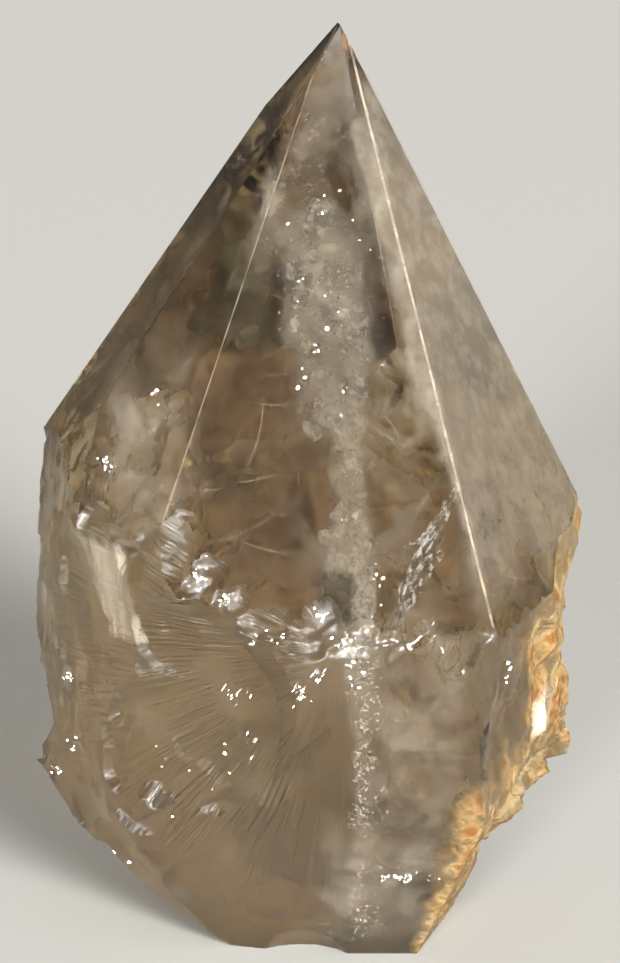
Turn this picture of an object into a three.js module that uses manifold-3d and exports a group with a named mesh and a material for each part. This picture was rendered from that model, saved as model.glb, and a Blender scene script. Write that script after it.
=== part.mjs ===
// Polished clear quartz point: one solid crystal with flat ground faces that meet at the tip, over a body
// of natural side faces and broken, shell-shaped fractures, standing on a sawn flat base.
//
// Millimetres, +Z up, -Y to the front. The origin is under the middle of the crystal, on its base.
// Every face is cut from one block: a plane for a ground, natural or sawn face, and a shallow ball for
// a fracture.
import * as THREE from "three";
import { mergeVertices } from "three/addons/utils/BufferGeometryUtils.js";
import Module from "manifold-3d";

const wasm = await Module();
wasm.setup();

// ---- Driving dimensions ---------------------------------------------------------------------------

// The block that everything is cut from reaches past every face.
const BLOCK = { width: 90, depth: 84, height: 130 };

// azimuth is the way a face looks: 0 to the front, 90 to the right. lean is how far it tips back from
// upright, negative for an undercut. reach is the distance from the origin to its plane.

// Ground faces, which rise to the tip.
const GROUND_FACES = [
  { name: "front", azimuth: 0, lean: 26, reach: 50.7 },
  { name: "front right", azimuth: 63.2, lean: 24.2, reach: 51.9 },
  { name: "right", azimuth: 96, lean: 26.9, reach: 57 },
  { name: "back right", azimuth: 138, lean: 25.5, reach: 54.6 },
  { name: "back", azimuth: -172, lean: 25.5, reach: 51.8 },
  { name: "back left", azimuth: -125, lean: 27.2, reach: 55.3 },
  { name: "left", azimuth: -73, lean: 34.9, reach: 63.2 },
  { name: "front left", azimuth: -41.4, lean: 31, reach: 58 },
  { name: "front left sliver", azimuth: -40.4, lean: 31.2, reach: 58.4 },
  { name: "left facet", azimuth: -60.7, lean: 25.9, reach: 55.7 },
];

// Natural side faces and old breaks.
const NATURAL_FACES = [
  { name: "right", azimuth: 79.7, lean: -2.3, reach: 32.1 },
  { name: "right back", azimuth: 112, lean: 1, reach: 39.4 },
  { name: "back right", azimuth: 150, lean: 2, reach: 33.6 },
  { name: "back", azimuth: -166, lean: -3, reach: 28.6 },
  { name: "back left", azimuth: -128, lean: -1, reach: 32.4 },
  { name: "left", azimuth: -96, lean: 1, reach: 35.2 },
  { name: "left front", azimuth: -73, lean: 6, reach: 38 },
  { name: "front left", azimuth: -42, lean: -5, reach: 28.6 },
  { name: "front", azimuth: 3, lean: -8, reach: 27 },
  { name: "front underside", azimuth: 0, lean: -27, reach: 12.7 },
  { name: "front right", azimuth: 66, lean: -7, reach: 28.6 },
  { name: "right underside", azimuth: 100, lean: -47, reach: 13.6 },
  { name: "back right underside", azimuth: 152, lean: -42, reach: 14.4 },
  { name: "back underside", azimuth: -160, lean: -32, reach: 13.4 },
  { name: "left underside", azimuth: -88, lean: -38, reach: 13.4 },
  { name: "left foot", azimuth: -76, lean: -54, reach: 7 },
  { name: "front left foot", azimuth: -40, lean: -36, reach: 12.4 },
];

// Steps where a slab has split off: what lies beyond both faces is gone.
const STEPS = [
  {
    name: "front left ledge",
    outer: { azimuth: -50, lean: -4, reach: 28.2 },
    inner: { azimuth: 87, lean: -82, reach: -59.3 },
  },
  {
    name: "front right foot",
    outer: { azimuth: 72, lean: -27, reach: 16.2 },
    inner: { azimuth: 12, lean: -6, reach: -1.5 },
  },
];

// Fractures: shallow hollows left by flakes. at is the middle of the hollow, on the face that the flake
// left. azimuth and lean say which way that face looks, radius is the hollow's curve and depth how deep
// it goes.
const FRACTURES = [
  { name: "front left hollow", at: [-15, -29, 38], azimuth: -22, lean: -14, radius: 60, depth: 3.4 },
  { name: "front foot", at: [-7, -20, 14], azimuth: -12, lean: -30, radius: 70, depth: 1.5 },
  { name: "left waist", at: [-34.5, -4, 31], azimuth: -84, lean: 0, radius: 13, depth: 2.6 },
  { name: "left underside", at: [-25, -4, 11], azimuth: -84, lean: -42, radius: 50, depth: 1 },
  { name: "front right corner", at: [26, -25, 33], azimuth: 54, lean: -10, radius: 15, depth: 1.5 },
  { name: "right foot", at: [26, -1, 15], azimuth: 78, lean: -27, radius: 16, depth: 1.8 },
  { name: "right side", at: [35, 8, 34], azimuth: 82, lean: 0, radius: 60, depth: 0.8 },
  { name: "back left", at: [-22, 22, 38], azimuth: -134, lean: 0, radius: 44, depth: 3.2 },
  { name: "back foot", at: [-4, 24, 14], azimuth: 178, lean: -32, radius: 40, depth: 3.2 },
  { name: "back right", at: [18, 29, 34], azimuth: 150, lean: 0, radius: 34, depth: 2.6 },
  { name: "front arch", at: [-0.6, -13.5, 0.2], azimuth: 0, lean: -45, radius: 9, depth: 1.8 },
];

// Chips knocked off sharp edges.
const CHIPS = [
  { name: "tip", at: [5.4, 0.4, 115.8], azimuth: 86, lean: 24, radius: 3, depth: 0.3 },
  { name: "below the tip", at: [7, -0.2, 112.6], azimuth: 88, lean: 24, radius: 2.4, depth: 0.35 },
  { name: "left shoulder", at: [-34, -4, 65.5], azimuth: -74, lean: 22, radius: 30, depth: 0.7 },
];

const UNEVEN = { height: 0.22, wave: 15 }; // slow lumps on a fracture
const FACET_SIZE = 3; // side of a fracture's facets

// ---- Tools ----------------------------------------------------------------------------------------

// The way a face looks, from its azimuth and lean in degrees.
function facing({ azimuth, lean }) {
  const turn = THREE.MathUtils.degToRad(azimuth);
  const rise = THREE.MathUtils.degToRad(lean);
  return new THREE.Vector3(
    Math.sin(turn) * Math.cos(rise),
    -Math.cos(turn) * Math.cos(rise),
    Math.sin(rise),
  );
}

// A closed three.js geometry as a manifold-3d solid.
function solidOf(geometry) {
  const bare = geometry.clone();
  bare.deleteAttribute("normal");
  bare.deleteAttribute("uv");
  const merged = mergeVertices(bare, 1e-4);
  return new wasm.Manifold(
    new wasm.Mesh({
      numProp: 3,
      vertProperties: new Float32Array(merged.attributes.position.array),
      triVerts: new Uint32Array(merged.index.array),
    }),
  );
}

// A manifold-3d solid back as a three.js geometry.
function geometryOf(solid) {
  const mesh = solid.getMesh();
  return new THREE.BufferGeometry()
    .setAttribute("position", new THREE.BufferAttribute(new Float32Array(mesh.vertProperties), 3))
    .setIndex(new THREE.BufferAttribute(new Uint32Array(mesh.triVerts), 1));
}

// A slab that takes away everything beyond a plane.
function slabBeyond(face) {
  const normal = facing(face);
  const slab = new THREE.BoxGeometry(2 * BLOCK.height, 2 * BLOCK.height, BLOCK.height);
  slab.translate(0, 0, BLOCK.height / 2);
  slab.applyQuaternion(new THREE.Quaternion().setFromUnitVectors(new THREE.Vector3(0, 0, 1), normal));
  slab.translate(...normal.multiplyScalar(face.reach).toArray());
  return solidOf(slab);
}

// How far a fracture's wall stands out at a point.
function unevenness(point) {
  const k = (2 * Math.PI) / UNEVEN.wave;
  const rows = Math.sin(k * point.x + 1.3 * Math.sin(0.7 * k * point.z));
  const cross = 0.6 * Math.sin(1.4 * k * point.z + 2 * k * point.y);
  return UNEVEN.height * (rows + cross);
}

// A ball whose side makes a fracture's hollow.
function ballFor({ at, azimuth, lean, radius, depth }) {
  const detail = Math.round((1.1 * radius) / FACET_SIZE);
  const ball = new THREE.IcosahedronGeometry(radius, detail);
  const normal = facing({ azimuth, lean });
  ball.applyQuaternion(new THREE.Quaternion().setFromUnitVectors(new THREE.Vector3(0, 0, 1), normal));
  const centre = new THREE.Vector3(...at).addScaledVector(normal, radius - depth);
  const corners = ball.attributes.position;
  const corner = new THREE.Vector3();
  for (let i = 0; i < corners.count; i++) {
    corner.fromBufferAttribute(corners, i);
    const share = Math.min(1, radius / 20);
    corner.setLength(corner.length() + share * unevenness(corner.clone().add(centre)));
    corner.add(centre);
    corners.setXYZ(i, corner.x, corner.y, corner.z);
  }
  return solidOf(ball);
}

// ---- The crystal ----------------------------------------------------------------------------------

function block() {
  const box = new THREE.BoxGeometry(BLOCK.width, BLOCK.depth, BLOCK.height);
  box.translate(0, 0, BLOCK.height / 2);
  return solidOf(box);
}

function crystal() {
  let solid = block();
  for (const face of NATURAL_FACES) {
    solid = solid.subtract(slabBeyond(face));
  }
  for (const { outer, inner } of STEPS) {
    solid = solid.subtract(slabBeyond(outer).intersect(slabBeyond(inner)));
  }
  for (const fracture of FRACTURES) {
    solid = solid.subtract(ballFor(fracture));
  }
  for (const face of GROUND_FACES) {
    solid = solid.subtract(slabBeyond(face));
  }
  for (const chip of CHIPS) {
    solid = solid.subtract(ballFor(chip));
  }
  return geometryOf(solid);
}

const geometry = crystal();
geometry.computeBoundingBox();
const middle = geometry.boundingBox.getCenter(new THREE.Vector3());
geometry.translate(-middle.x, -middle.y, 0);

const quartz = new THREE.MeshStandardMaterial({ color: 0xb9a88a, roughness: 0.08, metalness: 0 });
const point = new THREE.Group();
const body = new THREE.Mesh(geometry, quartz);
body.name = "quartz_crystal";
point.add(body);

export default point;
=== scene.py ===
"""Dresses the quartz point: its broken skin, its ground and polished faces, and what shows inside it."""

import math
import random

import bpy
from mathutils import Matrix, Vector, noise
from mathutils.bvhtree import BVHTree
from mathutils.kdtree import KDTree


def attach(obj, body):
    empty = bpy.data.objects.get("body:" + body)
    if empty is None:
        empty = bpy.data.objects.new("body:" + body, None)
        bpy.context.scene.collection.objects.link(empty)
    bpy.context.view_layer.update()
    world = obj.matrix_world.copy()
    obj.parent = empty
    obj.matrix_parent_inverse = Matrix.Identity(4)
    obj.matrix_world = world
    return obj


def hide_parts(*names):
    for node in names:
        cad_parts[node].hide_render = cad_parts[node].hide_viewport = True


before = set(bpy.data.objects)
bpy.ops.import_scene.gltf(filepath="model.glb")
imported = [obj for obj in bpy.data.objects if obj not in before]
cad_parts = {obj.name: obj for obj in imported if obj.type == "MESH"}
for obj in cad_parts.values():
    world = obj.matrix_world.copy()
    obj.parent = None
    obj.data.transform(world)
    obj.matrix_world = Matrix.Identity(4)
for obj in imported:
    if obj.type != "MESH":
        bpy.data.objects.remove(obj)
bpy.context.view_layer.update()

# Lengths are laid out in millimetres from the crystal's axis, and CENTRE is where the frame's origin
# lies in that layout.
CENTRE = Vector((0.838, -0.167, 0))
# The vector noise starts from the clock unless it is given a seed.
noise.seed_set(5)


def place(x, y, z):
    """A place of the layout as the frame has it, in metres."""
    return (Vector((x, y, z)) - CENTRE) / 1000


def layout(co):
    """A place of the frame as the layout has it, in millimetres."""
    return co * 1000 + CENTRE


def smooth(x, low, high):
    """0 below low, 1 above high, and an even bend between."""
    t = max(0, min(1, (x - low) / (high - low)))
    return t * t * (3 - 2 * t)


def facing(azimuth, lean):
    """The way a face looks: azimuth 0 to the front and 90 to the right, lean back from upright."""
    turn, rise = math.radians(azimuth), math.radians(lean)
    return Vector((math.sin(turn) * math.cos(rise), -math.cos(turn) * math.cos(rise), math.sin(rise)))


# The ground faces: azimuth, lean, and reach from the layout's origin.
GROUND = {
    "front": (0, 26, 50.7),
    "front_right": (63.2, 24.2, 51.9),
    "right": (96, 26.9, 57.0),
    "back_right": (138, 25.5, 54.6),
    "back": (-172, 25.5, 51.8),
    "back_left": (-125, 27.2, 55.3),
    "left": (-73, 34.9, 63.2),
    "front_left": (-41.4, 31, 58.0),
    "sliver": (-40.4, 31.2, 58.4),
    "left_facet": (-60.7, 25.9, 55.7),
}
# How far the ground faces are cut into the broken skin, so that none of it stays on them.
BITE = 0.06
# Neighbours whose shared ridge has a fine flat worn along it, and those whose flat gets no whitish line of
# bruises and painted highlight.
RIDGES = [
    ("front", "front_right"), ("front", "front_left"), ("front_left", "left"), ("left", "back_left"),
    ("front_right", "right"), ("right", "back_right"), ("back_right", "back"), ("back", "back_left"),
    ("front_left", "left_facet"), ("left", "left_facet"), ("front", "sliver"),
]
CLEAN_RIDGES = [("front_left", "left"), ("front_left", "left_facet"), ("left", "left_facet")]
RIDGE_WIDTH = 0.18
RIGHT_RIDGE_WIDTH = 0.34
# Below this height the skin is the sawn base and stays flat.
SAWN = 0.25
# The hackles on the front fan out from here.
BURST = Vector((4.5, -34, 46))
# The broken skin's fineness in metres, and the angle in degrees past which its edges stay sharp.
VOXEL = 0.00045
SHARP = 28
# A face with more corners than this is a cut face, and the broken skin has none.
MOST_CORNERS = 12


def select_none():
    for o in bpy.context.selected_objects:
        o.select_set(False)


def pick(piece):
    select_none()
    piece.select_set(True)
    bpy.context.view_layer.objects.active = piece


def edit(piece):
    """Goes into edit mode with all of the piece selected."""
    pick(piece)
    bpy.ops.object.mode_set(mode="EDIT")
    bpy.ops.mesh.select_all(action="SELECT")


def edit_kept(piece):
    """Goes into edit mode with what is already selected."""
    pick(piece)
    bpy.ops.object.mode_set(mode="EDIT")


def leave():
    bpy.ops.object.mode_set(mode="OBJECT")


# ---- The crystal's shape --------------------------------------------------------------------------


def crystal_blank():
    """A copy of the solid with its loose triangles joined."""
    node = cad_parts["quartz_crystal"]
    mesh = node.data.copy()
    blank = bpy.data.objects.new("crystal", mesh)
    bpy.context.collection.objects.link(blank)
    edit(blank)
    bpy.ops.mesh.remove_doubles(threshold=1e-6)
    leave()
    return blank


def ground_depth(p):
    """How far a point of the layout lies under the nearest ground face."""
    return min(reach - facing_of[name].dot(p) for name, (_, _, reach) in GROUND.items())


facing_of = {name: facing(azimuth, lean) for name, (azimuth, lean, _) in GROUND.items()}


# Shell-shaped flakes knocked off the front and sides: x and z of the middle seen from the front, half
# length, half width and depth, and how far the long way is turned clockwise from upright.
SHELLS = [
    # the two bowls that leave a rib between them below the burst point
    (-6.6, 40.2, 16, 6.4, 1.1, 31), (5.7, 32.6, 14, 8.0, 0.9, 31),
    (-14.5, 33.0, 14, 5.0, 0.35, 48), (-17.5, 45.5, 8.5, 3.4, 0.6, 75),
    # long flat flakes down the left side
    (-23.6, 50.5, 7.0, 2.5, 0.55, -22), (-27.2, 47.5, 7.5, 2.2, 0.8, -12), (-20.2, 51.5, 6.5, 2.2, 0.5, -28),
    (-29.4, 36.3, 5.5, 1.5, 0.7, 6), (-29.4, 27.4, 4.5, 1.8, 0.6, -6), (-32.6, 21.8, 2.6, 1.7, 0.8, 20),
    (-33.7, 42.0, 5.0, 1.7, 0.7, 0), (-25.8, 16.8, 5.5, 2.8, 0.6, -35), (-31.0, 31.5, 3.0, 1.4, 0.6, 15),
    # scallops under the front left face
    (-22.4, 56.6, 3.4, 2.2, 0.6, -15), (-18.6, 57.6, 3.6, 2.4, 0.8, 0), (-15.8, 59.3, 3.2, 1.8, 0.6, 12),
    # bites out of the lower border of the front face
    (-12.3, 54.7, 2.0, 1.3, 0.55, 40), (-9.0, 52.0, 1.7, 1.2, 0.5, 30), (-14.7, 57.6, 2.1, 1.3, 0.5, 50),
    (-6.3, 48.8, 2.6, 1.6, 0.6, 70), (-3.6, 49.6, 1.9, 1.2, 0.5, 20), (-0.4, 47.9, 2.6, 1.6, 0.8, 60),
    (2.2, 50.2, 2.6, 1.6, 0.9, 10), (6.5, 47.5, 4.0, 1.6, 0.6, 32), (10.8, 46.6, 5.5, 2.0, 0.7, 34),
    (15.2, 47.6, 5.0, 1.7, 0.6, 28), (19.6, 46.2, 4.6, 1.8, 0.6, 20), (22.6, 47.2, 3.4, 1.2, 0.4, 8),
    # the broken right edge
    (24.2, 41.3, 4.2, 1.1, 0.6, -14), (25.4, 33.3, 5.0, 1.5, 0.9, 6), (29.9, 29.6, 3.4, 2.0, 0.8, 10),
    (32.6, 33.0, 4.0, 1.6, 0.6, 0), (21.0, 25.5, 3.4, 1.6, 0.6, 35), (17.0, 17.5, 3.6, 1.8, 0.6, 35),
    # bowls above the sawn base
    (-1.7, 8.3, 7.5, 4.2, 0.7, 85), (8.5, 8.0, 6.5, 3.8, 0.7, 100), (3.6, 3.5, 3.6, 2.2, 0.6, 80),
    (13.0, 13.5, 3.8, 2.4, 0.5, 60), (-10.5, 10.5, 6.0, 3.4, 0.5, 70),
]


def knock_off(skin, tree, middle, out, along, size, ripple):
    """Sinks one shallow bowl with a ragged rim into the skin, with faint ripples across it."""
    long, wide, depth = size
    along = (along - out * along.dot(out)).normalized()
    across = out.cross(along)
    for _, i, _ in tree.find_range(middle, 1.3 * max(long, wide)):
        p = skin[i]
        if p.z < SAWN:
            continue
        q = p - middle
        ragged = noise.noise_vector(p * (1.6 / long) + middle) * 0.45
        ragged += noise.noise_vector(p * (4.5 / long)) * 0.16
        u, v, height = q.dot(along) / long + ragged.x, q.dot(across) / wide + ragged.y, q.dot(out)
        struck = math.hypot((u - 0.9) * long, v * wide)
        wave = ripple * math.sin(2 * math.pi * struck / 2.1) * smooth(noise.noise(p / 3), -0.1, 0.4)
        bowl = depth * (u * u + v * v - 1) + wave
        if bowl < height < 3:
            skin[i] = p + out * (bowl - height)


def quiet(p):
    """How much a point lies in the quiet middle of the front, which gets the listed shells alone."""
    return smooth(p.x, -16, -10) * (1 - smooth(p.x, 16, 22)) * smooth(-p.y, 4, 10)


def roughness(p):
    """How rough the natural skin is: roughest on the right edge and the back."""
    return max(smooth(p.x, 18, 26), smooth(p.y, -4, 8))


def any_way(chance):
    """A step with no way that it prefers."""
    return Vector([chance.gauss(0, 1) for _ in range(3)])


def in_order(picked, skin):
    """Picked points of the skin, put in order by where they lie."""
    return sorted(picked, key=lambda i: tuple(skin[i]))


def knap(skin, normals):
    """Knocks off the listed shells, and then small ones strewn over the skin and along its borders."""
    tree = KDTree(len(skin))
    for i, p in enumerate(skin):
        tree.insert(p, i)
    tree.balance()
    front = [i for i, p in enumerate(skin) if normals[i].y < -0.1]
    by_face = KDTree(len(front))
    for i in front:
        by_face.insert(Vector((skin[i].x, 0, skin[i].z)), i)
    by_face.balance()
    for x, z, long, wide, depth, turn in SHELLS:
        near = [i for _, i, _ in by_face.find_n(Vector((x, 0, z)), 12)]
        i = min(near, key=lambda k: skin[k].y)
        angle = math.radians(turn)
        along = Vector((math.sin(angle), 0, math.cos(angle)))
        knock_off(skin, tree, skin[i], normals[i], along, (long, wide, depth), 0.015)
    chance = random.Random(7)
    strewn = 260
    natural = [i for i, p in enumerate(skin) if ground_depth(p) > 0.4 and p.z > 1.5 and quiet(p) < 0.5]
    border = [i for i, p in enumerate(skin) if 0.1 < ground_depth(p) < 0.5 and p.z > 4]
    natural, border = in_order(natural, skin), in_order(border, skin)
    for _ in range(strewn):
        i = chance.choice(natural)
        p, n = skin[i], normals[i]
        rough = roughness(p)
        long = chance.uniform(1.6, 4.5) * (1 + 0.5 * rough)
        along = (p - BURST).normalized() + Vector([chance.gauss(0, 0.25 + rough) for _ in range(3)])
        size = (long, long * chance.uniform(0.3, 0.8), long * (0.05 + 0.09 * rough))
        knock_off(skin, tree, p, (n + 0.12 * along).normalized(), along, size, 0.02 * rough)
    for _ in range(strewn):
        i = chance.choice(border)
        along = any_way(chance)
        long = 0.5 + 1.3 * chance.random() ** 2
        if skin[i].y > -4 and chance.random() < 0.35:
            long *= 3.2
        size = (long, long * chance.uniform(0.4, 0.9), min(0.7, long * 0.24))
        knock_off(skin, tree, skin[i], normals[i], along, size, 0)


def weather(piece):
    """Breaks up the natural skin, and leaves the sawn base alone."""
    points = [layout(v.co) for v in piece.data.vertices]
    normals = [v.normal.copy() for v in piece.data.vertices]
    for i, (p, n) in enumerate(zip(points, normals)):
        depth = ground_depth(p)
        if depth < 0.12 or p.z < SAWN:
            continue
        fade = min(1, depth / 0.5) * min(1, p.z / 1.5)
        # slow swell of a fracture
        d = 0.3 * noise.noise(p / 13) + 0.12 * noise.noise(p / 4.2)
        rough = roughness(p)
        d -= rough * (1.3 * abs(noise.noise(p / 8)) + 0.6 * abs(noise.noise(p / 3.1)))
        d += rough * 0.12 * noise.noise(p / 1.1)
        # long splinters down the left side
        left = smooth(-p.x, 18, 26) * (1 - rough)
        down = Vector((p.x + 0.25 * p.z, p.y, p.z * 0.11))
        d -= left * (0.9 * abs(noise.noise(down / 1.9)) + 0.3 * abs(noise.noise(down / 0.8)))
        # hackles that fan out from the burst point on the front
        away = p - BURST
        fan = math.atan2(away.z, -away.x)
        reach = away.length
        comb = noise.noise(Vector((fan * 15, reach * 0.07, 3)))
        open_front = smooth(-p.x, -8, 0) * smooth(reach, 4, 12) * (1 - smooth(reach, 30, 48))
        d += 0.26 * comb * (open_front * smooth(-n.y, 0.1, 0.4))
        points[i] = p + n * (d * fade)
    knap(points, normals)
    piece.data.vertices.foreach_set("co", [c for p in points for c in place(*p)])
    piece.data.update()


def cut_flat(piece, normal, reach):
    """Cuts off what lies beyond a plane of the layout and closes the cut."""
    edit(piece)
    bpy.ops.mesh.bisect(
        plane_co=place(*(normal * reach)), plane_no=normal, use_fill=True, clear_outer=True, threshold=1e-7
    )
    leave()


def ridge_flat(a, b):
    """The plane of a fine flat worn along the ridge between two ground faces."""
    width = RIGHT_RIDGE_WIDTH if (a, b) == ("front", "front_right") else RIDGE_WIDTH
    mean = facing_of[a] + facing_of[b]
    half_turn = facing_of[a].angle(facing_of[b]) / 2
    reach = (GROUND[a][2] + GROUND[b][2]) / mean.length - width / 2 * math.tan(half_turn)
    return mean.normalized(), reach - BITE / math.cos(half_turn)


def grind(piece):
    """Grinds the flat faces back over the broken skin, and wears their ridges."""
    for name, (_, _, reach) in GROUND.items():
        cut_flat(piece, facing_of[name], reach - BITE)
    for a, b in RIDGES:
        cut_flat(piece, *ridge_flat(a, b))


def natural_gloss(p):
    """Broken skin is satin, but glassy low on the right of the front."""
    right = smooth(p.x + 2.5 * noise.noise(p / 5), 3, 15) * (1 - smooth(p.x, 19, 25))
    return 0.72 * right * smooth(-p.y, 8, 14) * smooth(p.z, 8, 22)


def mark_ground(piece):
    """Writes how polished each face is to its corners, and keeps the flat faces flat."""
    mesh = piece.data
    mark = mesh.attributes.new("polish", "FLOAT", "CORNER")
    gloss = [natural_gloss(layout(v.co)) for v in mesh.vertices]
    normals = [facing_of[name] for name in GROUND]
    reaches = [GROUND[name][2] - BITE for name in GROUND]
    for f in mesh.polygons:
        n = f.normal
        p = layout(f.center)
        flat = any(n.dot(m) > 0.9995 and abs(m.dot(p) - r) < 0.03 for m, r in zip(normals, reaches))
        f.use_smooth = not flat and len(f.vertices) < MOST_CORNERS
        for i in f.loop_indices:
            mark.data[i].value = 1.0 if flat else gloss[mesh.loops[i].vertex_index]


def make_crystal():
    crystal = crystal_blank()
    pick(crystal)
    crystal.data.remesh_voxel_size = VOXEL
    crystal.data.remesh_voxel_adaptivity = 0
    bpy.ops.object.voxel_remesh()
    weather(crystal)
    grind(crystal)
    pick(crystal)
    bpy.ops.object.shade_smooth_by_angle(angle=math.radians(SHARP))
    mark_ground(crystal)
    return crystal


# ---- Films on the skin ----------------------------------------------------------------------------

# How far the films lie above the skin, in metres.
RUST_LIFT = 0.00003
RIDGE_LINE_LIFT = 0.00001


def iron(p):
    """How strongly iron has stained the natural skin at a point of the layout."""
    start = 23.5 + 4.5 * smooth(p.z, 38, 50)
    rim = smooth(p.x, start, start + 3.5) * smooth(p.z, 8, 16)
    # a clear gap runs up the rim
    bare = (1 - smooth(abs(p.x - 26.6 - noise.noise(p / 3)), 1.2, 2.0)) * smooth(p.z, 26, 30)
    rim *= 1 - 0.9 * (bare * (1 - smooth(p.z, 40, 44)))
    edge = 15.4 + 0.21 * p.z + 0.8 * noise.noise(p / 2.5)
    foot = smooth(p.x, edge - 2.4, edge - 0.5) * (1 - smooth(p.z, 22, 30)) * 0.85
    back = smooth(p.y, 6, 16) * (0.45 + 0.55 * smooth(noise.noise(p / 12), -0.25, 0.35))
    return max(rim, foot, back * 0.8)


def skin_copy(name, leave_out, lift):
    """A copy of the crystal's faces but those to leave out, laid a hair above them, with a fade share."""
    select_none()
    mesh = crystal.data.copy()
    copy = bpy.data.objects.new(name, mesh)
    bpy.context.collection.objects.link(copy)
    fade = mesh.attributes.new("fade", "FLOAT", "POINT")
    bare = leave_out(mesh, fade)
    edit(copy)
    bpy.ops.mesh.select_all(action="DESELECT")
    bpy.ops.mesh.select_mode(type="FACE")
    leave()
    mesh.polygons.foreach_set("select", bare)
    edit_kept(copy)
    bpy.ops.mesh.delete(type="FACE")
    bpy.ops.mesh.select_mode(type="VERT")
    leave()
    skin = [(v.co.copy(), v.normal.copy()) for v in mesh.vertices]
    mesh.vertices.foreach_set("co", [c for co, n in skin for c in co + n * lift])
    mesh.attributes.remove(mesh.attributes["polish"])
    mesh.update()
    return copy


def stained(mesh, fade):
    """Which faces the rust leaves bare."""
    for i, v in enumerate(mesh.vertices):
        fade.data[i].value = iron(layout(v.co))
    polish = mesh.attributes["polish"].data
    bare = []
    for f in mesh.polygons:
        level = max(fade.data[i].value for i in f.vertices)
        bare.append(level < 0.1 or len(f.vertices) > MOST_CORNERS or polish[f.loop_start].value > 0.9)
    return bare


def off_ridges(mesh, fade):
    """Which faces lie off the ridge flats that carry the whitish line of bruises and painted highlight. The
    line is fainter on the left.
    """
    for i, v in enumerate(mesh.vertices):
        fade.data[i].value = 0.45 + 0.55 * smooth(v.co.x, 0, 0.004)
    flats = [ridge_flat(a, b) for a, b in RIDGES if (a, b) not in CLEAN_RIDGES]
    bare = []
    for f in mesh.polygons:
        n, p = f.normal, layout(f.center)
        bare.append(not any(n.dot(m) > 0.999 and abs(m.dot(p) - r) < 0.03 for m, r in flats))
    return bare


# ---- What shows inside ----------------------------------------------------------------------------


def behind(x, z, depth):
    """The point of the layout a depth straight behind the front skin, or None where there is no room."""
    spot, _, _, _ = skin_tree.ray_cast(place(x, -90, z), Vector((0, 1, 0)))
    if spot is None:
        return None
    back, _, _, thick = skin_tree.ray_cast(spot + Vector((0, 0.0001, 0)), Vector((0, 1, 0)))
    if back is None or thick < 0.001:
        return None
    return layout(spot) + Vector((0, min(depth, 0.4 * thick * 1000), 0))


def on_skin(x, z, lift):
    """The point of the layout a lift above the front skin, or None past its edge."""
    spot, normal, _, _ = skin_tree.ray_cast(place(x, -90, z), Vector((0, 1, 0)))
    return spot and layout(spot) + normal * lift


def film(name, columns, rows, where, fading=0.22, tears=0.1):
    """A thin crumpled sheet. where gives a point, or None, and a thickness, from a share across and up."""
    select_none()
    bpy.ops.mesh.primitive_grid_add(x_subdivisions=columns, y_subdivisions=rows, size=2)
    sheet = bpy.context.active_object
    sheet.name = name
    mesh = sheet.data
    fade = mesh.attributes.new("fade", "FLOAT", "POINT")
    bare = []
    for i, v in enumerate(mesh.vertices):
        across, up = v.co.x / 2 + 0.5, v.co.y / 2 + 0.5
        spot, thick = where(across, up)
        edge = min(across, 1 - across, up, 1 - up)
        ragged = edge + tears * noise.noise(Vector((across * 6, up * 9, len(name))))
        share = smooth(ragged, 0.0, fading) * thick if spot else 0.0
        fade.data[i].value = share
        bare.append(share <= 0.0)
        v.co = place(*(spot or Vector((0, 0, 50))))
    mesh.update()
    for f in mesh.polygons:
        f.use_smooth = True
    edit(sheet)
    bpy.ops.mesh.select_all(action="DESELECT")
    leave()
    mesh.vertices.foreach_set("select", bare)
    edit_kept(sheet)
    bpy.ops.mesh.delete(type="VERT")
    leave()
    return sheet


# The veil seen from the front, from the top down: z, x of its left and right edge, and depth.
VEIL = [
    (105.8, -0.5, 4.2, 2.4), (103.5, -1.9, 5.2, 3.0), (96.6, -2.9, 6.9, 3.8), (90.9, -3.5, 7.5, 4.6),
    (85.2, -2.2, 8.1, 5.4), (79.6, -1.6, 8.1, 6.0), (74.0, -1.0, 7.4, 6.2), (68.4, 0.2, 6.8, 6.2),
    (62.9, 2.4, 7.4, 5.8), (56.4, 2.4, 8.0, 5.0), (52.0, 3.6, 8.3, 4.4), (46.6, 4.4, 8.6, 3.4),
    (39.2, 5.6, 8.2, 2.0), (31.7, 6.2, 8.0, 1.6), (24.0, 6.4, 8.0, 1.6), (16.1, 6.5, 8.0, 1.4),
    (8.0, 6.6, 8.2, 1.4), (3.0, 6.8, 8.2, 1.2),
]
# The middle of the leaf-shaped clear window high in the veil: x and z.
LEAF = Vector((4.2, 98.2))


def veil_line(up):
    """The left edge, right edge and depth of the veil at a share of its height."""
    z = VEIL[-1][0] + (VEIL[0][0] - VEIL[-1][0]) * up
    for (z1, *upper), (z0, *lower) in zip(VEIL, VEIL[1:]):
        if z0 <= z:
            break
    t = (z - z0) / (z1 - z0)
    return z, [b + (a - b) * t for a, b in zip(upper, lower)]


def in_leaf(x, z):
    """Whether a place seen from the front lies in the clear window."""
    x, z = x - LEAF.x, z - LEAF.y
    return abs(x + 0.3 * z) < 1.15 * (1 - (z / 4.4) ** 2)


def veil_at(across, up):
    """The crumpled veil itself."""
    z, (left, right, depth) = veil_line(up)
    x = left + (right - left) * (across * 1.3 - 0.15)
    if in_leaf(x, z):
        return None, 0
    q = Vector((x, z, depth))
    crumple = 1.6 * noise.noise(q / 4.2) + 0.9 * noise.noise(q / 1.5) + 0.4 * noise.noise(q / 0.6)
    depth += crumple * min(1, depth / 4)
    x += 0.7 * noise.noise(q / 1.9 + Vector((9, 0, 0)))
    return behind(x, z, max(0.5, depth)), 0.35 + 0.5 * smooth(z, 38, 50) + 0.2 * smooth(z, 84, 94)


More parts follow.
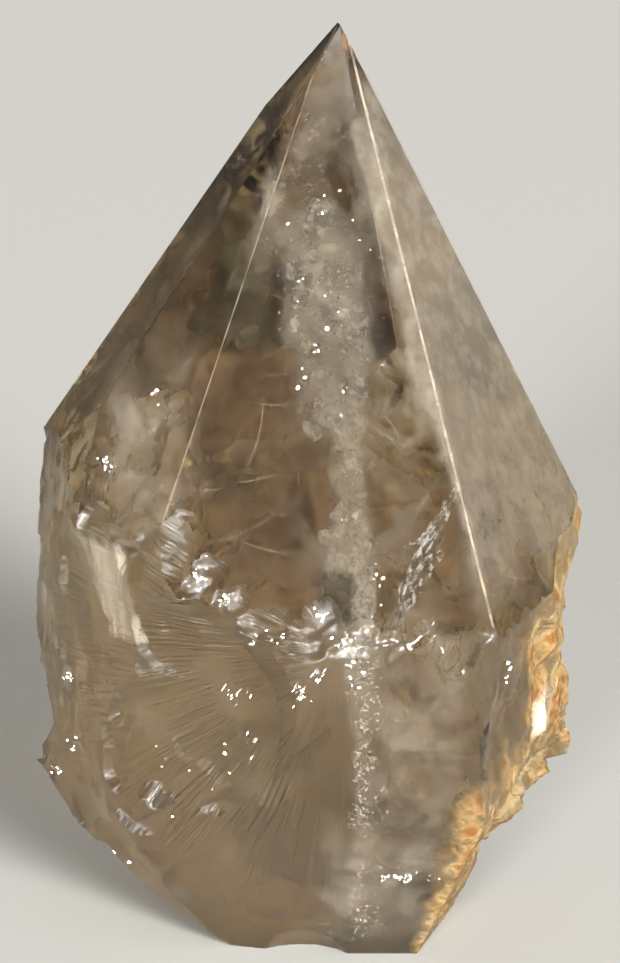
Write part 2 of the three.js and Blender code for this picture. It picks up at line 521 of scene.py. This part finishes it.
def fog_at(across, up):
    """A wide thin haze about the veil."""
    z, (left, right, depth) = veil_line(0.3 + 0.68 * up)
    middle = (left + right) / 2
    x = middle + (across - 0.42) * 17 * (1.15 - 0.75 * smooth(z, 60, 108))
    q = Vector((x, z, 40))
    if in_leaf(x, z):
        return None, 0
    return behind(x, z, depth + 1.5 + 2.0 * noise.noise(q / 7) + 0.6 * noise.noise(q / 2)), 1


def bloom_at(across, up):
    """The soft whitish body of the veil."""
    z, (left, right, depth) = veil_line(0.36 + 0.64 * up)
    x = left + (right - left) * (across * 1.6 - 0.3)
    if in_leaf(x, z):
        return None, 0
    q = Vector((x, z, 70))
    return behind(x, z, max(0.5, depth - 0.7 + 0.9 * noise.noise(q / 3))), 0.75 + 0.75 * smooth(z, 80, 92)


# Fogs: left and right edge at the foot, left and right edge at the top, lowest and highest z, depth (0 is
# on the skin), thickness at the foot and at the top, and how wide their edges fade.
FOGS = {
    "right_face_fog": ((20.4, 43.0), (2.2, 13.0), (46, 112), 1.4, 0.62, 1.15, 0.16),
    "right_foot_fog": ((4.0, 22.0), (4.0, 23.0), (6, 54), 3.0, 1.6, 1.8, 0.45),
    "left_foot_fog": ((-30.0, -11.0), (-27.0, -10.0), (50, 84), 2.6, 3.2, 2.4, 0.6),
    "tip_fog": ((-4.0, 8.0), (3.0, 6.0), (98, 116), 0.9, 1.0, 0.6, 0.25),
    "base_fog": ((0.0, 18.0), (0.0, 21.0), (0.5, 22), 2.0, 3.0, 2.6, 0.5),
    # left_flake_sheen lies on the skin and is painted sheen: a pale patch where a flat flake catches the
    # light.
    "left_flake_sheen": ((-23.6, -18.6), (-28.6, -22.0), (44.0, 57.0), 0, 0.8, 1.0, 0.12),
    "tip_stain": ((4.5, 5.7), (4.5, 5.5), (113.4, 116.4), 0, 1.0, 1.0, 0.3),
}


def fog_patch(name):
    """One of the fogs as a film."""
    (low_left, low_right), (high_left, high_right), (low_z, high_z), depth, foot, top, fading = FOGS[name]

    def where(across, up):
        left = low_left + (high_left - low_left) * up
        right = low_right + (high_right - low_right) * up
        x, z = left + (right - left) * across, low_z + (high_z - low_z) * up
        thick = foot + (top - foot) * up
        if not depth:
            return on_skin(x, z, 0.03), thick
        q = Vector((x, z, 10 * len(name)))
        crumple = 0.9 * noise.noise(q / 5) + 0.4 * noise.noise(q / 1.7)
        return behind(x, z, depth * (1 + crumple)), thick

    return film(name, 70, 140, where, fading)


def scatter(name, count, where, seed, sizes, turn=None, narrow=0.55, along=None):
    """Many small thin chips in one mesh, turned every way or, with turn and along, nearly one way."""
    select_none()
    bpy.ops.mesh.primitive_circle_add(vertices=5, radius=1, fill_type="NGON")
    chips = bpy.context.active_object
    chips.name = name
    rows = chips.modifiers.new("rows", "ARRAY")
    rows.count = count
    rows.use_relative_offset = False
    bpy.ops.object.modifier_apply(modifier="rows")
    chance = random.Random(seed)
    corners = []
    for _ in range(count):
        middle = None
        while middle is None:
            middle = where(chance)
        size = chance.uniform(*sizes)
        tilt = any_way(chance)
        face = tilt.normalized() if turn is None else (turn + tilt * 0.12).normalized()
        side = any_way(chance)
        a = face.cross(side if along is None else along.cross(face) * -1 + side * 0.1).normalized()
        b = face.cross(a)
        for k in range(5):
            angle = 2 * math.pi * (k + chance.uniform(-0.3, 0.3)) / 5
            spoke = size * chance.uniform(0.5, 1)
            corner = middle + a * (spoke * math.cos(angle)) + b * (narrow * spoke * math.sin(angle))
            corners.extend(place(*corner))
    chips.data.vertices.foreach_set("co", corners)
    chips.data.update()
    return chips


def in_veil(chance):
    """A spot near the veil, more likely where it is dense."""
    across = min(1, max(0, chance.gauss(0.5, 0.24)))
    up = 0.36 + 0.64 * chance.random() ** 0.7
    q, _ = veil_at(across, up)
    if q is None or noise.noise(q / 2.6) + 0.5 * noise.noise(q / 0.9) < chance.uniform(-0.3, 0.35):
        return None
    q += Vector([chance.gauss(0, 0.5) for _ in range(3)])
    return None if in_leaf(q.x, q.z) else q


def in_vein(chance):
    """A spot in the crumbly lower end of the veil."""
    z = 3 + 46 * chance.random()
    x = 6.9 + 0.9 * noise.noise(Vector((z / 4, 0, 5))) + chance.gauss(0, 0.6 + 0.5 * smooth(z, 36, 50))
    x += 3.0 * chance.random() if chance.random() < 0.3 else 0
    return on_skin(x, z, 0.02 + 0.1 * chance.random())


# Brown clouds: x, z, depth, half width, half height, slope and thickness, and which of them are dark.
CLOUDS = [
    (-5.5, 69, 7, 10, 12, 0.3, 1.6), (-4.0, 58, 6, 10, 10, -0.3, 1.6), (-8.5, 86, 7, 6, 9, 0.2, 1.3),
    (14.0, 55, 6, 9, 8, 0.4, 1.3), (1.8, 104, 3.0, 5, 11, 0.1, 1.0), (-19, 80, 6, 7, 8, 0.3, 1.0),
    (-24, 73, 5, 6, 6, 0.2, 1.0), (-14, 88, 5, 5, 8, 0.3, 1.0), (-6.0, 64, 3, 8, 14, 0.2, 0.6),
    # The last one, at the burst point, is painted shade: a small dark patch, not a cloud of iron.
    (4.0, 51.5, 0.9, 2.3, 3.4, 0.0, 1.5),
]
DARK_CLOUDS = (2, 9)


def cloud(index):
    """One of the brown clouds as a film."""
    x, z, depth, wide, tall, slope, thick = CLOUDS[index]

    def where(across, up):
        u, v = 2 * across - 1, 2 * up - 1
        q = Vector((u * wide, v * tall, index * 31))
        d = depth + 2.2 * noise.noise(q / 6) + 0.8 * noise.noise(q / 2)
        return behind(x + u * wide, z + v * tall, d + slope * v * tall * 0.4), thick

    return film(f"brown_cloud_{index + 1}", 60, 60, where)


# Feather cracks right of the veil: lower x and z, upper x and z, half width and depth.
FEATHERS = [
    (10.2, 50.0, 19.6, 66.0, 0.9, 0.5),
    (9.8, 47.0, 17.0, 58.5, 1.2, 1.0),
    (13.0, 56.0, 19.0, 64.0, 0.5, 1.6),
    (11.5, 57.0, 16.5, 60.0, 0.35, 0.6),
]


def feather(index):
    """One of the feather cracks as a narrow film that tapers upwards."""
    x0, z0, x1, z1, wide, depth = FEATHERS[index]
    along = Vector((x1 - x0, z1 - z0)).normalized()
    side = Vector((-along.y, along.x))

    def where(across, up):
        u = (2 * across - 1) * wide * math.sin(math.pi * min(1, 0.15 + 0.85 * up)) ** 0.6
        p = Vector((x0, z0)).lerp(Vector((x1, z1)), up) + side * u
        p += side * (0.5 * noise.noise(Vector((up * 4, index, 2))))
        rise = 0.9 * (u + wide) + 0.5 * noise.noise(Vector((u * 3, up * 3, index)))
        return behind(p.x, p.y, depth + rise), 1

    return film(f"feather_crack_{index + 1}", 16, 90, where, 0.3, 0.3)


# Sparkling chips: x, z, spread across, spread up and number.
GLINTS = [
    (-12.4, 54.8, 1.2, 1.6, 16), (-9.2, 52.0, 0.7, 0.7, 7), (1.9, 50.3, 0.8, 1.3, 14),
    (-0.2, 41.0, 1.0, 1.8, 5), (24.6, 41.8, 0.6, 2.0, 12), (-29.6, 36.8, 0.7, 1.6, 7),
    (-29.4, 27.4, 0.7, 2.2, 6), (-17.9, 73.5, 0.7, 0.9, 7), (-23.8, 65.0, 0.9, 1.2, 9),
    (12.7, 12.9, 3.2, 0.8, 26), (-31.5, 22.5, 1.4, 1.6, 9), (6.2, 44.0, 0.8, 3.0, 16),
    (-4.5, 47.6, 2.6, 0.8, 12), (4.8, 47.2, 1.6, 1.0, 14), (8.9, 54.0, 0.9, 3.0, 9),
    (-14.0, 27.0, 6, 6, 12), (-24.0, 12.0, 3.0, 2.0, 8), (2.0, 84.0, 4.0, 12.0, 22),
]
# Longer bright strokes, in the same terms, and the way that they run.
STREAKS = [
    (-0.6, 40.8, 1.8, 2.0, 14), (-7.8, 39.0, 2.2, 1.8, 5), (1.6, 43.6, 1.0, 1.2, 6),
    (-6.0, 33.5, 0.6, 3.0, 5),
]
STREAK_WAY = Vector((0.6, 0, 0.8))
# Half way between the window light and the front, where a flat chip flashes.
FLASH = facing(12.5, 17.5)


def spot_of(places, chance):
    """A spot on the skin near one of the listed places."""
    x, z, wide, tall, _ = chance.choices(places, weights=[p[4] for p in places])[0]
    return on_skin(x + chance.gauss(0, wide / 2), z + chance.gauss(0, tall / 2), 0.06)


def in_glints(chance):
    return spot_of(GLINTS, chance)


def in_streaks(chance):
    return spot_of(STREAKS, chance)


# Long scratches on the front faces: x and z of the middle, length, turn clockwise from upright and bow.
SCRATCHES = [
    (-11.4, 64.2, 6.6, 88, 0.2), (-9.0, 72.0, 14, 18, 1.8), (-7.5, 70.5, 16, 15, 2.2),
    (-12.5, 66.0, 12, 24, 1.6), (-6.0, 66.0, 13, 80, 0.9), (-9.0, 60.0, 15, 72, 1.2),
    (-5.0, 74.0, 9, 95, 0.5), (-3.0, 58.0, 12, 100, 0.8), (11.0, 70.0, 11, 118, 0.5),
    (13.5, 62.0, 8, 35, 0.4), (-16.0, 78.0, 10, 60, 0.6), (-19.0, 70.0, 9, 48, 0.7),
    (-4.0, 80.0, 12, 64, 0.9), (9.0, 88.0, 6, 130, 0.3), (-1.0, 63.0, 9, 5, 0.3),
]


def scratches(count=70):
    """Hairline scratches in the polish, the listed ones and then finer ones strewn about."""
    chance = random.Random(11)
    wide, fine, lift = 0.065, 0.05, 0.012
    marks = [mark + (wide,) for mark in SCRATCHES]
    while len(marks) < count:
        middle = (chance.uniform(-20, 17), chance.uniform(54, 94))
        marks.append((*middle, chance.uniform(1.5, 7), chance.uniform(0, 180), chance.gauss(0, 0.3), fine))
    steps = 10
    select_none()
    bpy.ops.mesh.primitive_grid_add(x_subdivisions=1, y_subdivisions=steps, size=1)
    strips = bpy.context.active_object
    strips.name = "scratches"
    rows = strips.modifiers.new("rows", "ARRAY")
    rows.count = len(marks)
    rows.use_relative_offset = False
    bpy.ops.object.modifier_apply(modifier="rows")
    shape = [(v.co.x * 2, v.co.y * 2) for v in strips.data.vertices[: 2 * (steps + 1)]]
    corners = []
    for x, z, length, turn, bow, width in marks:
        angle = math.radians(turn)
        along = Vector((math.sin(angle), math.cos(angle)))
        side = Vector((along.y, -along.x))
        for u, v in shape:
            thin = width * (1 - abs(v) ** 3)
            p = Vector((x, z)) + along * (v * length / 2) + side * (bow * (1 - v * v) + u * thin / 2)
            spot = on_skin(p.x, p.y, lift)
            corners.extend(place(*(spot or Vector((x, 0, z)))))
    strips.data.vertices.foreach_set("co", corners)
    strips.data.update()
    return strips


# ---- Finishes -------------------------------------------------------------------------------------


class Sketch:
    """Short ways to add and join shader nodes."""

    def __init__(self, name):
        self.material = bpy.data.materials.new(name)
        self.material.use_nodes = True
        self.nodes, self.links = self.material.node_tree.nodes, self.material.node_tree.links
        self.shader = self.nodes["Principled BSDF"]
        self.at = self.nodes.new("ShaderNodeTexCoord").outputs["Object"]

    def put(self, source, name):
        self.links.new(source, self.shader.inputs[name])

    def attribute(self, name):
        node = self.nodes.new("ShaderNodeAttribute")
        node.attribute_name = name
        return node.outputs["Fac"]

    def noise(self, scale, detail=3, rough=0.55, stretch=(1, 1, 1), turn=(0, 0, 0)):
        mapping = self.nodes.new("ShaderNodeMapping")
        mapping.inputs["Scale"].default_value = stretch
        mapping.inputs["Rotation"].default_value = turn
        self.links.new(self.at, mapping.inputs["Vector"])
        node = self.nodes.new("ShaderNodeTexNoise")
        node.inputs["Scale"].default_value = scale
        node.inputs["Detail"].default_value = detail
        node.inputs["Roughness"].default_value = rough
        self.links.new(mapping.outputs[0], node.inputs["Vector"])
        return node.outputs["Fac"]

    def span(self, source, low, high, start=0.0, end=1.0):
        node = self.nodes.new("ShaderNodeMapRange")
        node.interpolation_type = "SMOOTHSTEP"
        for name, value in zip(("From Min", "From Max", "To Min", "To Max"), (low, high, start, end)):
            node.inputs[name].default_value = value
        self.links.new(source, node.inputs["Value"])
        return node.outputs["Result"]

    def math(self, operation, *values):
        node = self.nodes.new("ShaderNodeMath")
        node.operation = operation
        for slot, value in zip(node.inputs, values):
            if isinstance(value, (int, float)):
                slot.default_value = value
            else:
                self.links.new(value, slot)
        return node.outputs[0]

    def mix(self, share, a, b):
        node = self.nodes.new("ShaderNodeMix")
        node.data_type = "RGBA"
        self.links.new(share, node.inputs["Factor"])
        for slot, value in ((node.inputs[6], a), (node.inputs[7], b)):
            if isinstance(value, tuple):
                slot.default_value = (*value, 1)
            else:
                self.links.new(value, slot)
        return node.outputs[2]

    def bump(self, height, depth):
        node = self.nodes.new("ShaderNodeBump")
        node.inputs["Distance"].default_value = depth
        self.links.new(height, node.inputs["Height"])
        self.links.new(node.outputs[0], self.shader.inputs["Normal"])


def inner(material):
    """Marks a finish that is used inside, where no lamp shines straight in, as casting a plain shadow."""
    material.use_transparent_shadow = False
    return material


def quartz():
    """Clear, faintly smoky crystal, bright where it is ground and satin where it is natural."""
    k = Sketch("quartz")
    k.shader.inputs["Base Color"].default_value = (1, 1, 1, 1)
    k.shader.inputs["IOR"].default_value = 1.544
    k.shader.inputs["Transmission Weight"].default_value = 1
    absorb = k.nodes.new("ShaderNodeVolumeAbsorption")
    absorb.inputs["Color"].default_value = (0.588, 0.436, 0.12, 1)
    absorb.inputs["Density"].default_value = 25
    k.links.new(absorb.outputs[0], k.nodes["Material Output"].inputs["Volume"])
    k.material.cycles.homogeneous_volume = True
    polish = k.attribute("polish")
    drift = k.noise(90, 1, 0.55)
    smear = k.span(drift, 0.4, 0.75, 0.015, 0.07)
    satin = k.span(drift, 0.3, 0.75, 0.33, 0.45)
    gloss = k.math("MULTIPLY_ADD", polish, k.math("SUBTRACT", smear, satin), satin)
    k.put(gloss, "Roughness")
    # hackles that spray from the burst point on the front, and the fine grain of the natural skin
    natural = k.math("SUBTRACT", 1.0, polish)
    relief = k.math("ADD", k.noise(1300, 0), k.math("MULTIPLY", hackles(k), 5.0))
    k.bump(k.math("MULTIPLY", relief, natural), 0.00006)
    return k.material


def hackles(k):
    """Fine strokes that run out from the burst point low on the front."""
    where = k.nodes.new("ShaderNodeVectorMath")
    where.operation = "SUBTRACT"
    k.links.new(k.at, where.inputs[0])
    where.inputs[1].default_value = place(*BURST)
    parts = k.nodes.new("ShaderNodeSeparateXYZ")
    k.links.new(where.outputs[0], parts.inputs[0])
    turn = k.math("ARCTAN2", parts.outputs[2], k.math("MULTIPLY", parts.outputs[0], -1.0))
    length = k.nodes.new("ShaderNodeVectorMath")
    length.operation = "LENGTH"
    k.links.new(where.outputs[0], length.inputs[0])
    strokes = k.nodes.new("ShaderNodeCombineXYZ")
    k.links.new(k.math("MULTIPLY", turn, 46.0), strokes.inputs[0])
    k.links.new(k.math("MULTIPLY", length.outputs["Value"], 55.0), strokes.inputs[1])
    comb = k.nodes.new("ShaderNodeTexNoise")
    comb.inputs["Scale"].default_value = 1.0
    comb.inputs["Detail"].default_value = 1
    comb.inputs["Roughness"].default_value = 0.5
    k.links.new(strokes.outputs[0], comb.inputs["Vector"])
    edge = k.math("MULTIPLY", k.span(comb.outputs["Fac"], 0.42, 0.66), k.span(k.noise(160, 0), 0.35, 0.65))
    near = k.span(length.outputs["Value"], 0.003, 0.010)
    far = k.span(length.outputs["Value"], 0.030, 0.048, 1.0, 0.15)
    left = k.span(parts.outputs[0], -0.004, 0.003, 1.0, 0.0)
    front = k.span(parts.outputs[1], 0.022, 0.028, 1.0, 0.0)
    reach = k.math("MULTIPLY", k.math("MULTIPLY", near, far), k.math("MULTIPLY", left, front))
    return k.math("MULTIPLY", edge, reach)


def rust():
    """Cream, yellow and rusty iron crust."""
    k = Sketch("rust")
    mottle = k.noise(230, 2, 0.65)
    pale = k.mix(k.span(k.noise(300, 2, 0.6), 0.42, 0.66), (0.34, 0.215, 0.085), (0.46, 0.335, 0.17))
    ochre = k.mix(k.span(mottle, 0.5, 0.66), pale, (0.23, 0.10, 0.028))
    away = k.nodes.new("ShaderNodeVectorMath")
    away.operation = "DISTANCE"
    k.links.new(k.at, away.inputs[0])
    away.inputs[1].default_value = place(31.8, -9, 30)
    ragged = k.math("ADD", away.outputs["Value"], k.math("MULTIPLY", mottle, 0.004))
    chalky = k.span(ragged, 0.0045, 0.0072, 1.0, 0.0)
    k.put(k.mix(chalky, ochre, (0.66, 0.57, 0.42)), "Base Color")
    k.shader.inputs["Roughness"].default_value = 0.8
    k.shader.inputs["Specular IOR Level"].default_value = 0.25
    patches = k.span(mottle, 0.36, 0.58, 0.25, 1.0)
    k.put(k.math("MULTIPLY", k.attribute("fade"), patches), "Alpha")
    k.bump(k.noise(900, 1, 0.75), 0.0005)
    return k.material


def ridge_dust_and_highlight():
    """Whitish line along a worn ridge: tiny bruises, and a painted highlight on the ridge."""
    k = Sketch("ridge_dust_and_highlight")
    k.shader.inputs["Base Color"].default_value = (0.62, 0.50, 0.38, 1)
    k.shader.inputs["Roughness"].default_value = 0.4
    dots = k.span(k.noise(420, 2, 0.6), 0.35, 0.65, 0.1, 0.5)
    k.put(k.math("MULTIPLY", k.attribute("fade"), dots), "Alpha")
    k.bump(k.noise(2500, 1), 0.0001)
    return k.material


def scratch_dust():
    """Pale line of a scratch in the polish."""
    k = Sketch("scratch_dust")
    k.shader.inputs["Base Color"].default_value = (0.66, 0.56, 0.43, 1)
    k.shader.inputs["Roughness"].default_value = 0.5
    k.put(k.span(k.noise(240, 1, 0.5), 0.35, 0.65, 0.03, 0.26), "Alpha")
    return k.material


def frost():
    """White, lacy veil of tiny bubbles healed inside the crystal."""
    k = Sketch("frost")
    k.shader.inputs["Base Color"].default_value = (0.78, 0.70, 0.60, 1)
    k.shader.inputs["Roughness"].default_value = 0.35
    lace = k.span(k.noise(620, 3, 0.7), 0.36, 0.68, 0.2, 0.8)
    drift = k.span(k.noise(110, 2), 0.32, 0.64, 0.3, 1.0)
    k.put(k.math("MULTIPLY", k.attribute("fade"), k.math("MULTIPLY", lace, drift)), "Alpha")
    k.bump(k.noise(1400, 2, 0.7), 0.0004)
    return k.material


def haze(name, low, high, scale, stretch=(1, 1, 1)):
    """Thin whitish fog of bubbles too small to see, thinnest and thickest as said. The striped one laid on
    the skin is painted sheen instead.
    """
    k = Sketch(name)
    k.shader.inputs["Base Color"].default_value = (0.60, 0.515, 0.41, 1)
    k.shader.inputs["Roughness"].default_value = 0.6
    drift = k.span(k.noise(scale, 2, 0.65, stretch), 0.34, 0.72, low, high)
    k.put(k.math("MULTIPLY", k.attribute("fade"), drift), "Alpha")
    return k.material


def feather_sheen():
    """Silvery streaks of a thin crack that holds air."""
    k = Sketch("feather_sheen")
    k.shader.inputs["Base Color"].default_value = (0.85, 0.84, 0.8, 1)
    k.shader.inputs["Roughness"].default_value = 0.3
    streak = k.span(k.noise(1500, 3, 0.6, (1, 1, 0.12), (0, 0.55, 0)), 0.45, 0.65, 0.0, 0.8)
    k.put(k.math("MULTIPLY", k.attribute("fade"), streak), "Alpha")
    k.bump(k.noise(1200, 2, 0.6), 0.0003)
    return k.material


def flake_silver():
    """Mirror-bright flakes where a hair crack holds air."""
    k = Sketch("flake_silver")
    k.put(k.mix(k.span(k.noise(700, 2), 0.35, 0.65), (0.95, 0.93, 0.88), (0.78, 0.72, 0.62)), "Base Color")
    k.shader.inputs["Metallic"].default_value = 0.75
    k.shader.inputs["Roughness"].default_value = 0.22
    k.shader.inputs["Alpha"].default_value = 0.8
    return k.material


def smoke(name, light, dark):
    """Thin golden brown cloud of iron along a healed crack. The dark one also makes the painted shade at the
    burst point.
    """
    k = Sketch(name)
    k.put(k.mix(k.span(k.noise(140, 3, 0.6), 0.4, 0.7), light, dark), "Base Color")
    k.shader.inputs["Roughness"].default_value = 0.6
    cloud = k.span(k.noise(75, 3, 0.6), 0.36, 0.66, 0.4, 0.95)
    k.put(k.math("MULTIPLY", k.attribute("fade"), cloud), "Alpha")
    return k.material


# ---- Floor, light and camera ----------------------------------------------------------------------


def floor():
    """A pale floor a hair below the base, far wider than what the camera sees."""
    bpy.ops.mesh.primitive_plane_add(size=30, location=(0, 0, -0.00006))
    slab = bpy.context.active_object
    slab.name = "floor"
    paint = bpy.data.materials.new("floor_paint")
    paint.use_nodes = True
    shader = paint.node_tree.nodes["Principled BSDF"]
    shader.inputs["Base Color"].default_value = (0.585, 0.58, 0.553, 1)
    shader.inputs["Roughness"].default_value = 0.9
    slab.data.materials.append(paint)


def lamp(name, azimuth, elevation, spread, strength, tint):
    """A soft light far away, from an azimuth (0 in front, 90 right) and an elevation."""
    data = bpy.data.lights.new(name, "SUN")
    data.angle = math.radians(spread)
    data.energy = strength
    data.color = tint
    light = bpy.data.objects.new(name, data)
    towards = facing(azimuth, elevation)
    light.location = towards
    light.rotation_mode = "QUATERNION"
    light.rotation_quaternion = towards.to_track_quat("Z", "Y")
    bpy.context.collection.objects.link(light)


def near_lamp():
    """A wide weak light over the foreground."""
    data = bpy.data.lights.new("near", "AREA")
    data.shape = "DISK"
    data.size = 0.3
    data.energy = 0.3
    light = bpy.data.objects.new("near", data)
    light.location = place(200, -330, 360)
    light.rotation_mode = "QUATERNION"
    light.rotation_quaternion = (light.location - place(20, -80, 0)).to_track_quat("Z", "Y")
    bpy.context.collection.objects.link(light)


def sky():
    """A dim room, warm near the floor and paler overhead."""
    world = bpy.data.worlds.new("sky")
    bpy.context.scene.world = world
    world.use_nodes = True
    nodes, links = world.node_tree.nodes, world.node_tree.links
    up = nodes.new("ShaderNodeSeparateXYZ")
    links.new(nodes.new("ShaderNodeTexCoord").outputs["Generated"], up.inputs[0])
    ramp = nodes.new("ShaderNodeValToRGB")
    links.new(up.outputs["Z"], ramp.inputs["Fac"])
    stops = ramp.color_ramp.elements
    stops[0].position, stops[0].color = 0.0, (0.16, 0.142, 0.11, 1)
    stops[1].position, stops[1].color = 0.75, (0.25, 0.248, 0.24, 1)
    stops.new(0.35).color = (0.19, 0.172, 0.145, 1)
    links.new(ramp.outputs["Color"], nodes["Background"].inputs["Color"])


def camera():
    """A long lens in front, looking a little down on the point."""
    rise = math.radians(14)
    target, distance = place(0.8, 0, 58.8), 0.4
    ahead = Vector((0, math.cos(rise), -math.sin(rise)))
    data = bpy.data.cameras.new("camera")
    data.sensor_width = 36
    data.lens = 116.8
    data.clip_start, data.clip_end = 0.01, 20
    cam = bpy.data.objects.new("camera", data)
    cam.location = target - ahead * distance
    cam.rotation_mode = "QUATERNION"
    cam.rotation_quaternion = (-ahead).to_track_quat("Z", "Y")
    bpy.context.collection.objects.link(cam)
    bpy.context.scene.camera = cam


# ---- Putting it together --------------------------------------------------------------------------


def finish_piece(piece, material):
    """Gives a piece its finish and carries it with the crystal."""
    piece.data.materials.clear()
    piece.data.materials.append(material)
    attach(piece, "root")


crystal = make_crystal()
finish_piece(crystal, quartz())
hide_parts("quartz_crystal")
skin = crystal.data
skin_tree = BVHTree.FromPolygons([v.co for v in skin.vertices], [f.vertices for f in skin.polygons])

finish_piece(skin_copy("rusty_crust", stained, RUST_LIFT), rust())
# The ridge flats get a whitish film: partly bruises, partly a painted highlight along the ridges, stronger
# on the right.
finish_piece(skin_copy("ridge_bruises_and_highlight", off_ridges, RIDGE_LINE_LIFT), ridge_dust_and_highlight())
frosted = inner(frost())
hazy = inner(haze("haze", low=0.07, high=0.3, scale=160))
silver = inner(flake_silver())
brown = inner(smoke("brown_smoke", (0.17, 0.10, 0.036), (0.08, 0.042, 0.012)))
dark = inner(smoke("dark_smoke_and_shade", (0.075, 0.055, 0.022), (0.045, 0.03, 0.01)))
finish_piece(film("veil", 60, 560, veil_at, fading=0.16), frosted)
finish_piece(film("veil_fog", 90, 160, fog_at), hazy)
bloomy = inner(haze("bloom_haze", low=0.2, high=0.72, scale=240))
finish_piece(film("veil_bloom", 50, 200, bloom_at, fading=0.5, tears=0.25), bloomy)
hazes = {
    "right_face_fog": inner(haze("even_haze", low=0.5, high=0.8, scale=330)),
    "tip_fog": inner(haze("tip_haze", low=0.1, high=0.32, scale=300)),
    "tip_stain": smoke("rusty_stain", (0.13, 0.06, 0.03), (0.08, 0.035, 0.016)),
    # This one is painted sheen, not fog: a pale striped patch laid on the skin where a flat flake catches
    # the light.
    "left_flake_sheen": haze("striped_painted_sheen", low=0.22, high=0.52, scale=420, stretch=(1, 1, 0.08)),
}
for name in FOGS:
    finish_piece(fog_patch(name), hazes.get(name, hazy))
finish_piece(scatter("veil_flakes", 2600, in_veil, seed=5, sizes=(0.08, 0.36)), silver)
dusty = scratch_dust()
finish_piece(scatter("vein_crumbs", 1100, in_vein, seed=9, sizes=(0.12, 0.5)), dusty)
finish_piece(scatter("vein_sparkles", 60, in_vein, seed=4, sizes=(0.05, 0.2)), silver)
for i in range(len(CLOUDS)):
    finish_piece(cloud(i), dark if i in DARK_CLOUDS else brown)
sheen = inner(feather_sheen())
for i in range(len(FEATHERS)):
    finish_piece(feather(i), sheen)
glint_count = sum(spot[4] for spot in GLINTS)
streak_count = sum(spot[4] for spot in STREAKS)
finish_piece(scatter("glints", glint_count, in_glints, seed=3, sizes=(0.1, 0.42), turn=FLASH), silver)
streaks = scatter(
    "streaks", streak_count, in_streaks, seed=8, sizes=(0.2, 0.95), turn=FLASH, narrow=0.18, along=STREAK_WAY
)
finish_piece(streaks, silver)
finish_piece(scratches(), dusty)

floor()
for pane, azimuth in (("left", 20), ("middle", 25), ("right", 30)):
    lamp("window_" + pane, azimuth, elevation=19, spread=14, strength=2.2, tint=(1, 0.99, 0.96))
lamp("room", azimuth=-16, elevation=10, spread=9, strength=3.4, tint=(1, 0.99, 0.97))
near_lamp()
sky()
camera()
bpy.context.scene.view_settings.view_transform = "Standard"
cycles = bpy.context.scene.cycles
cycles.max_bounces = 9
cycles.transmission_bounces = 9
cycles.glossy_bounces = 2
cycles.diffuse_bounces = 1
cycles.transparent_max_bounces = 10
cycles.use_light_tree = False
bpy.context.scene.world.cycles.sampling_method = "NONE"
